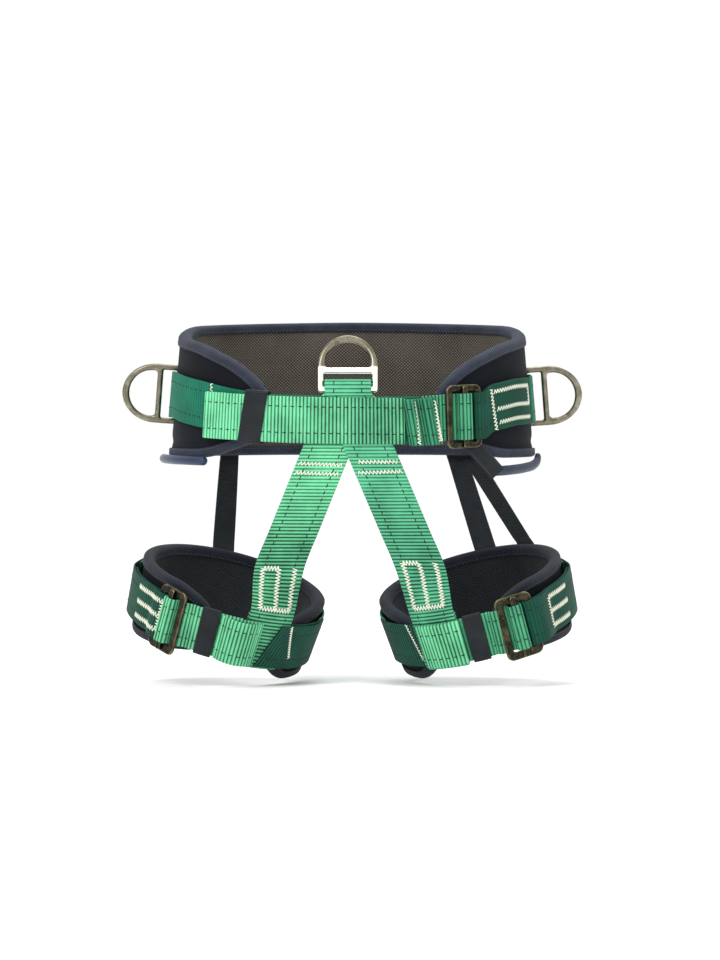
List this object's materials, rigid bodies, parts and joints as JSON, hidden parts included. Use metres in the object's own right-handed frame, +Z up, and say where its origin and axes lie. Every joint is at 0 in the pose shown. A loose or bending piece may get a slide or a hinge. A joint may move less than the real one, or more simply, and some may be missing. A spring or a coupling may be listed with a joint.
{
  "type": "tree climbing saddle",
  "caption": "Padded work saddle: a waist pad with a webbing belt and buckle, three forged D-rings, and two padded leg loops on crossed bridge straps with elastic suspenders.",
  "frame": {"origin": "middle of the waist opening, halfway up the waist pad", "axes": "+X to the right as seen from the front, +Y towards the back, +Z up"},
  "size_m": [0.4532, 0.2863, 0.3451],
  "materials": {
    "green_webbing": "satin ribbed polyester webbing",
    "dark_green_webbing": "flat polyester webbing",
    "black_fabric": "woven nylon",
    "mesh_lining": "spacer mesh",
    "binding_tape": "ribbed tape",
    "foam": "closed cell foam",
    "black_elastic": "woven elastic",
    "forged_steel": "forged and plated",
    "bronze_steel": "dark bronze plating",
    "blue_plastic": "smooth",
    "black_plastic": "smooth"
  },
  "bodies": {
    "waist": {"waist_pad_cover": "black_fabric", "waist_pad_core": "foam", "waist_pad_lining": "mesh_lining", "waist_pad_binding": "binding_tape", "belt_main_webbing": "green_webbing", "belt_side_strap": "dark_green_webbing", "belt_tail": "dark_green_webbing", "belt_front_strap": "green_webbing", "belt_buckle_frame": "bronze_steel", "bridge_strap_left": "green_webbing", "bridge_strap_right": "green_webbing", "gear_loop_left": "blue_plastic", "gear_loop_right": "black_plastic", "suspender_left_rear": "black_elastic", "suspender_right_rear": "black_elastic", "suspender_right_side": "black_elastic"},
    "front_ring": {"d_ring_front": "forged_steel"},
    "left_ring": {"d_ring_left": "forged_steel"},
    "right_ring": {"d_ring_right": "forged_steel"},
    "belt_bar": {"belt_buckle_bar": "bronze_steel"},
    "belt_keeper": {"belt_keeper": "black_elastic"},
    "left_leg": {"leg_strap_left": "green_webbing", "leg_left_pad_cover": "black_fabric", "leg_left_pad_core": "foam", "leg_left_pad_lining": "mesh_lining", "leg_left_pad_binding": "binding_tape", "leg_left_band": "green_webbing", "leg_left_side_strap": "dark_green_webbing", "leg_left_adjust_strap": "green_webbing", "leg_left_tail": "green_webbing", "leg_left_buckle_frame": "bronze_steel"},
    "left_leg_bar": {"leg_left_buckle_bar": "bronze_steel"},
    "left_leg_keeper": {"leg_left_keeper": "black_elastic"},
    "right_leg": {"leg_strap_right": "green_webbing", "leg_right_pad_cover": "black_fabric", "leg_right_pad_core": "foam", "leg_right_pad_lining": "mesh_lining", "leg_right_pad_binding": "binding_tape", "leg_right_band": "green_webbing", "leg_right_side_strap": "dark_green_webbing", "leg_right_adjust_strap": "green_webbing", "leg_right_tail": "green_webbing", "leg_right_buckle_frame": "bronze_steel"},
    "right_leg_bar": {"leg_right_buckle_bar": "bronze_steel"},
    "right_leg_keeper": {"leg_right_keeper": "black_elastic"}
  },
  "joints": [
    {"name": "front_ring_swing", "type": "hinge", "parent": "waist", "child": "front_ring", "pos_m": [-0.004, -0.1348, 0.0045], "axis": [1, 0, 0], "range_deg": [-3, 127]},
    {"name": "left_ring_swing", "type": "hinge", "parent": "waist", "child": "left_ring", "pos_m": [-0.17093, 0.03925, -0.0056], "axis": [0.0733, -0.028, 0.9969], "range_deg": [-76, 34]},
    {"name": "right_ring_swing", "type": "hinge", "parent": "waist", "child": "right_ring", "pos_m": [0.17111, 0.03932, -0.0079], "axis": [-0.0733, -0.028, 0.9969], "range_deg": [-34, 76]},
    {"name": "belt_bar_slide", "type": "slide", "parent": "waist", "child": "belt_bar", "axis": [0.866, 0.4989, 0.0349], "range_m": [-0.0012, 0.0012]},
    {"name": "belt_keeper_slide", "type": "hinge", "parent": "waist", "child": "belt_keeper", "pos_m": [-0.01105, 0.05637, 0], "axis": [0, 0, 1], "range_deg": [-1, 3]},
    {"name": "left_leg_swing", "type": "hinge", "parent": "waist", "child": "left_leg", "pos_m": [0, -0.1441, -0.067], "axis": [-1, 0, 0], "range_deg": [-8, 18], "deforming": ["suspender_left_rear"]},
    {"name": "left_leg_bar_slide", "type": "slide", "parent": "left_leg", "child": "left_leg_bar", "axis": [0.6268, -0.7087, -0.3239], "range_m": [-0.0012, 0.0012]},
    {"name": "left_leg_keeper_slide", "type": "hinge", "parent": "left_leg", "child": "left_leg_keeper", "pos_m": [-0.12394, -0.04334, -0.21671], "axis": [0.2532, -0.2079, 0.9448], "range_deg": [-4, 6]},
    {"name": "right_leg_swing", "type": "hinge", "parent": "waist", "child": "right_leg", "pos_m": [0, -0.1441, -0.067], "axis": [-1, 0, 0], "range_deg": [-8, 18], "deforming": ["suspender_right_rear", "suspender_right_side"]},
    {"name": "right_leg_bar_slide", "type": "slide", "parent": "right_leg", "child": "right_leg_bar", "axis": [0.9334, 0.2042, 0.295], "range_m": [-0.0012, 0.0012]},
    {"name": "right_leg_keeper_slide", "type": "hinge", "parent": "right_leg", "child": "right_leg_keeper", "pos_m": [0.12397, -0.04348, -0.21674], "axis": [-0.2532, -0.2079, 0.9448], "range_deg": [-2.5, 4.5]}
  ]
}
